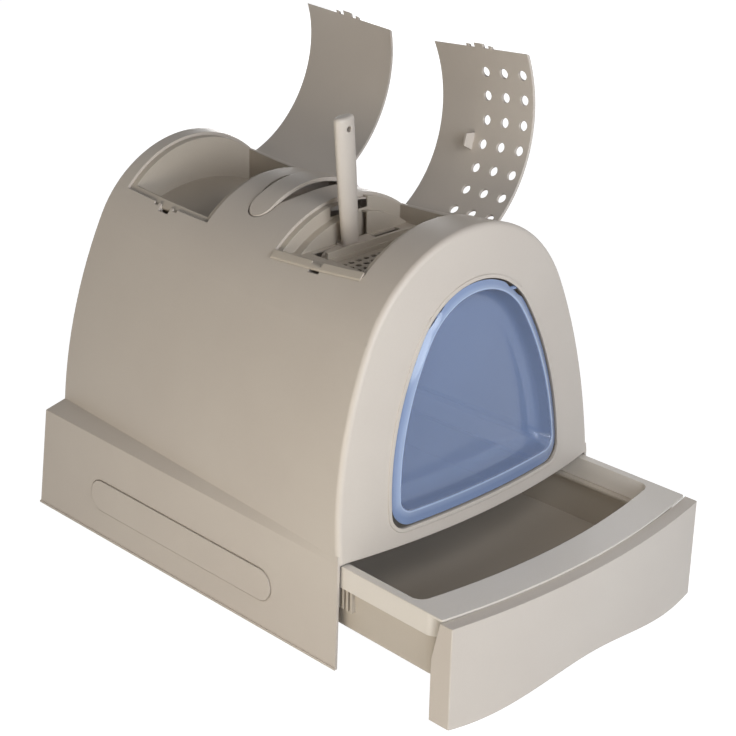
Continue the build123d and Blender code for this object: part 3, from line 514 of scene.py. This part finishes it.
def tinted_sheet(name):
    finish, shader, place = new_finish(name)
    drift = place.node("TexNoise", inputs={"Vector": place, "Scale": smoke_scale, "Detail": 2.0})
    shades = tuple(zip((dark_stop, light_stop), smoke_shades))
    smoke = place.node("ValToRGB", {"stops": shades}, {"Fac": drift})
    lines = place.node("VertexColor", {"layer_name": "highlight_and_edge_marks"})
    # The first channel marks the top of the bend, where the pale painted highlight goes.
    bend = lines.node("SeparateColor", inputs={"Color": lines}, out=0)
    edge = lines.node("SeparateColor", inputs={"Color": lines}, out=1)
    mix = {"data_type": "RGBA"}
    paler = place.node(
        "Mix", mix, {"Factor": edge * edge_tint, "A": smoke, "B": edge_shade}, out="Result"
    )
    colour = place.node("Mix", mix, {"Factor": bend, "A": paler, "B": painted_bend_highlight}, out="Result")
    plug(colour, shader, "Base Color")
    plug(gloss_base + drift * gloss_drift, shader, "Roughness")
    plug(dish_alpha + edge * edge_alpha + bend * bend_alpha, shader, "Alpha")
    shader.inputs["IOR"].default_value = flap_ior
    shader.inputs["Coat Weight"].default_value = flap_coat
    shader.inputs["Coat Roughness"].default_value = flap_coat_roughness
    return finish


flap_sheet = tinted_sheet("flap_sheet")
flap.data.materials.clear()
flap.data.materials.append(flap_sheet)
print("flap finish:", flap_sheet.name)

# %% [markdown]
# ## The filter felt
# The pad under the grille is needled carbon felt: nearly black, with short fibres in every
# direction. Only specks of it show through the holes, so a distorted noise in colour and bump is
# enough.

# %% filter felt
fibre_scale, fibre_twist, fibre_depth, fibre_strength = 650.0, 2.0, 0.0006, 0.8
felt_shades = ((0.3, linear(24, 24, 26)), (0.75, linear(62, 62, 64)))
felt_roughness, felt_roughness_drift = 0.85, 0.1


def needled_felt(name):
    finish, shader, place = new_finish(name)
    fibres = place.node("TexNoise", inputs={
        "Vector": place, "Scale": fibre_scale, "Detail": 6.0, "Distortion": fibre_twist,
    })
    plug(place.node("ValToRGB", {"stops": felt_shades}, {"Fac": fibres}), shader, "Base Color")
    plug(felt_roughness + fibres * felt_roughness_drift, shader, "Roughness")
    bump = place.node("Bump", inputs={
        "Height": fibres, "Strength": fibre_strength, "Distance": fibre_depth,
    })
    plug(bump, shader, "Normal")
    return finish


felt = needled_felt("filter_felt")
print("felt finish:", felt.name)

# %% [markdown]
# ## Finishes on the pieces
# Each solid keeps its shape and takes its finish through its material slot. The outer mouldings
# share one plastic. The trays inside are the same plastic painted a shade darker, as painted
# shade, and the drawer's rim is the same plastic painted a shade lighter, as painted light from
# above.

# %% dress the solids
def dress(name, finish):
    piece = nodes[name]
    piece.data.materials.clear()
    piece.data.materials.append(finish)


finished_pieces = (
    (body_plastic, (
        "hood_shell", "rear_lid", "front_lid", "carry_handle", "drawer_front", "scoop",
    )),
    # The rim's lighter shade is painted light from above.
    (rim_plastic, ("drawer_rim",)),
    # The inner pieces' darker shade is painted shade.
    (inset_plastic, (
        "base_pan", "storage_tray", "scoop_tray", "filter_grille", "drawer_tray",
    )),
    (felt, ("filter_pad",)),
)
for finish, names in finished_pieces:
    for name in names:
        dress(name, finish)
    print(finish.name, "on", ", ".join(names))

# %% [markdown]
# ## The floor and the sky
# The floor is a large white sheet, and the sky behind it is white too. Enough light to turn paper
# plain white would bleach the box, so both glow only where the camera, a mirror or clear plastic
# looks at them, and stay faint as sources of light.

# %% white floor
floor_size, floor_drop = 12.0, 0.0005
paper_shade, paper_roughness = (0.82, 0.82, 0.82, 1.0), 0.9
glow_strength, glow_seen, glow_bounce = 1.25, 0.8, 0.09


def white_view(tree):
    """One where the camera, a mirror or clear plastic looks, and zero for plain light."""
    rays = tree.nodes.new("ShaderNodeLightPath")
    seen, *others = [
        Wire(tree, rays.outputs[f"Is {kind} Ray"]) for kind in ("Camera", "Glossy", "Transmission")
    ]
    for other in others:
        seen = seen.math("MAXIMUM", seen, other)
    return seen


bpy.ops.mesh.primitive_plane_add(size=1.0, location=(0, 0, -floor_drop))
floor = bpy.context.object
floor.name = "floor"
bpy.ops.object.mode_set(mode="EDIT")
bpy.ops.mesh.select_all(action="SELECT")
bpy.ops.transform.resize(value=(floor_size, floor_size, 1.0))
bpy.ops.object.mode_set(mode="OBJECT")
paper = bpy.data.materials.new("floor_paper")
paper.use_nodes = True
paper_tree = paper.node_tree
paper_shader = next(node for node in paper_tree.nodes if node.type == "BSDF_PRINCIPLED")
paper_out = next(node for node in paper_tree.nodes if node.type == "OUTPUT_MATERIAL")
paper_shader.inputs["Base Color"].default_value = paper_shade
paper_shader.inputs["Roughness"].default_value = paper_roughness
floor_seen = white_view(paper_tree)
glow = floor_seen.node("Emission", inputs={"Color": (1, 1, 1, 1), "Strength": glow_strength})
mixed = floor_seen.node("MixShader", inputs={
    0: glow_bounce + floor_seen * (glow_seen - glow_bounce),
    1: Wire(paper_tree, paper_shader.outputs[0]),
    2: glow,
})
paper_tree.links.new(mixed.socket, paper_out.inputs["Surface"])
floor.data.materials.append(paper)
print("floor:", floor_size, "metres of white paper")

# %% [markdown]
# The sky needs the same switch, with a strength of one where it is seen and almost none elsewhere.

# %% white sky
sky_light = 0.02
world = bpy.data.worlds.new("studio_sky")
bpy.context.scene.world = world
world.use_nodes = True
sky_tree = world.node_tree
sky_shader = next(node for node in sky_tree.nodes if node.type == "BACKGROUND")
strength = sky_light + white_view(sky_tree) * (1 - sky_light)
sky_shader.inputs["Color"].default_value = (1, 1, 1, 1)
sky_tree.links.new(strength.socket, sky_shader.inputs["Strength"])
bpy.context.scene.view_settings.view_transform = "Standard"
print("sky:", world.name)
